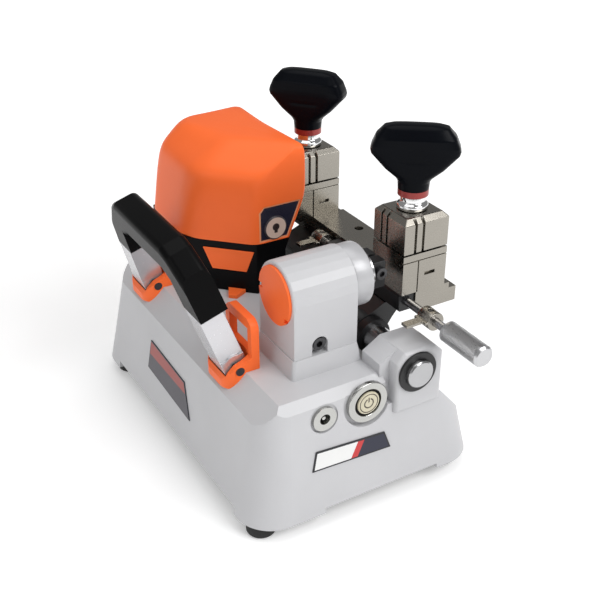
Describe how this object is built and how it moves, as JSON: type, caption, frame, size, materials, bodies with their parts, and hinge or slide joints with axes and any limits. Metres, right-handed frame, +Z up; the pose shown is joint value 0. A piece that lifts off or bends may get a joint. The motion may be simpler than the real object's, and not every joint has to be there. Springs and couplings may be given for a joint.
{
  "type": "key duplicating machine",
  "caption": "Compact key duplicating machine: drafted casing, tracer block, hooded cutter wheel, sliding and swinging carriage with winged key vices, gauge fingers and leaning carry handle.",
  "frame": {"origin": "centre of the bottom of the bounding box, on the floor under the feet", "axes": "+X from the tracer and power switch end to the cutter end, -Y to the operator's side where the key vices are, +Y to the carry handle, +Z up"},
  "size_m": [0.251, 0.1574, 0.1972],
  "materials": {
    "case_paint": "satin light grey paint",
    "ring_paint": "satin light grey",
    "orange": "moulded orange plastic",
    "black_plastic": "black moulded plastic",
    "panel_dark": "dark panel",
    "rubber": "black rubber",
    "nickel": "warm nickel plate",
    "steel": "machined steel",
    "chrome": "bright plate",
    "red": "red ring",
    "black_metal": "black oxide",
    "dark_screw": "blackened screws",
    "leg_silver": "silver legs",
    "ivory": "ivory caps",
    "lamp": "pale lens",
    "board": "green board",
    "label": "printed plate"
  },
  "bodies": {
    "base": {"base_casing": "case_paint", "bottom_plate": "black_plastic", "rubber_feet": "rubber", "foot_screws": "dark_screw", "tracer_block": "case_paint", "tracer_cap": "orange", "tracer_block_bolts": "dark_screw", "shaft_bushes": "black_metal", "motor_housing": "black_plastic", "housing_screws": "dark_screw", "hood": "orange", "hood_panel": "panel_dark", "light_switch_body": "black_plastic", "work_lamp": "lamp", "housing_inserts": "orange", "motor_can": "steel", "motor_bracket": "steel", "power_switch_bezel": "chrome", "power_switch_body": "black_plastic", "dc_jack": "chrome", "jack_nut": "chrome", "control_board": "board", "handle_bracket_front": "orange", "handle_bracket_rear": "orange", "handle_pins": "steel", "end_label_plate": "label", "side_label_plate": "label"},
    "cutter": {"motor_shaft": "steel", "cutter_wheel": "steel", "cutter_nut": "steel"},
    "slide_shaft": {"carriage_shaft": "steel", "shaft_collars": "steel"},
    "carriage": {"carriage_arm": "black_metal", "carriage_bar": "black_metal", "carriage_plate": "nickel", "plate_screws": "dark_screw", "front_lower_jaw": "nickel", "rear_lower_jaw": "nickel", "clamp_studs": "steel"},
    "front_jaw": {"front_upper_jaw": "nickel"},
    "front_knob": {"front_knob_collar": "chrome", "front_knob_ring": "red", "front_wing_knob": "black_plastic"},
    "rear_jaw": {"rear_upper_jaw": "nickel"},
    "rear_knob": {"rear_knob_collar": "chrome", "rear_knob_ring": "red", "rear_wing_knob": "black_plastic"},
    "gauge": {"gauge_rod": "steel", "gauge_fingers": "steel", "gauge_screws": "dark_screw", "gauge_knob": "steel"},
    "ring": {"tracer_ring": "ring_paint"},
    "tracer": {"tracer_quill": "steel", "tracer_clamp": "black_metal", "tracer_point": "steel", "tracer_screw": "dark_screw"},
    "power_button": {"power_button_cap": "ivory"},
    "light_button": {"light_button_cap": "ivory"},
    "handle": {"handle_grip": "black_plastic", "handle_legs": "leg_silver"}
  },
  "joints": [
    {"name": "cutter_spin", "type": "hinge", "parent": "base", "child": "cutter", "pos_m": [0.065, -0.00366, 0.1195], "axis": [1, 0, 0], "continuous": true},
    {"name": "carriage_slide", "type": "slide", "parent": "base", "child": "slide_shaft", "axis": [1, 0, 0], "range_m": [-0.014, 0.02]},
    {"name": "carriage_swing", "type": "hinge", "parent": "slide_shaft", "child": "carriage", "pos_m": [0.0125, -0.02966, 0.079], "axis": [-1, 0, 0], "range_deg": [0, 5]},
    {"name": "front_jaw_lift", "type": "slide", "parent": "carriage", "child": "front_jaw", "axis": [0, 0, 1], "range_m": [0, 0.003]},
    {"name": "front_knob_turn", "type": "hinge", "parent": "front_jaw", "child": "front_knob", "pos_m": [-0.045, -0.05566, 0.16], "axis": [0, 0, 1], "range_deg": [0, 540]},
    {"name": "rear_jaw_lift", "type": "slide", "parent": "carriage", "child": "rear_jaw", "axis": [0, 0, 1], "range_m": [0, 0.003]},
    {"name": "rear_knob_turn", "type": "hinge", "parent": "rear_jaw", "child": "rear_knob", "pos_m": [0.065, -0.05566, 0.16], "axis": [0, 0, 1], "range_deg": [0, 540]},
    {"name": "gauge_swing", "type": "hinge", "parent": "carriage", "child": "gauge", "pos_m": [-0.0275, -0.04486, 0.1015], "axis": [1, 0, 0], "range_deg": [0, 100]},
    {"name": "tracer_ring_turn", "type": "hinge", "parent": "base", "child": "ring", "pos_m": [-0.045, -0.01366, 0.1195], "axis": [0, 1, 0], "range_deg": [-360, 360]},
    {"name": "tracer_feed", "type": "slide", "parent": "base", "child": "tracer", "axis": [0, 1, 0], "range_m": [-0.001, 0.001]},
    {"name": "power_button_press", "type": "slide", "parent": "base", "child": "power_button", "axis": [1, 0, 0], "range_m": [0, 0.0012], "stiffness_N_per_m": 600},
    {"name": "light_button_press", "type": "slide", "parent": "base", "child": "light_button", "axis": [1, 0, 0], "range_m": [0, 0.0012], "stiffness_N_per_m": 600},
    {"name": "handle_swing", "type": "hinge", "parent": "base", "child": "handle", "pos_m": [0.0225, 0.05184, 0.08], "axis": [1, 0, 0], "range_deg": [0, 12]}
  ],
  "couplings": [
    {"joint": "front_knob_turn", "follows": "front_jaw_lift", "rad_per_m": 3141.6},
    {"joint": "rear_knob_turn", "follows": "rear_jaw_lift", "rad_per_m": 3141.6},
    {"joint": "tracer_ring_turn", "follows": "tracer_feed", "rad_per_m": 6283.2}
  ]
}
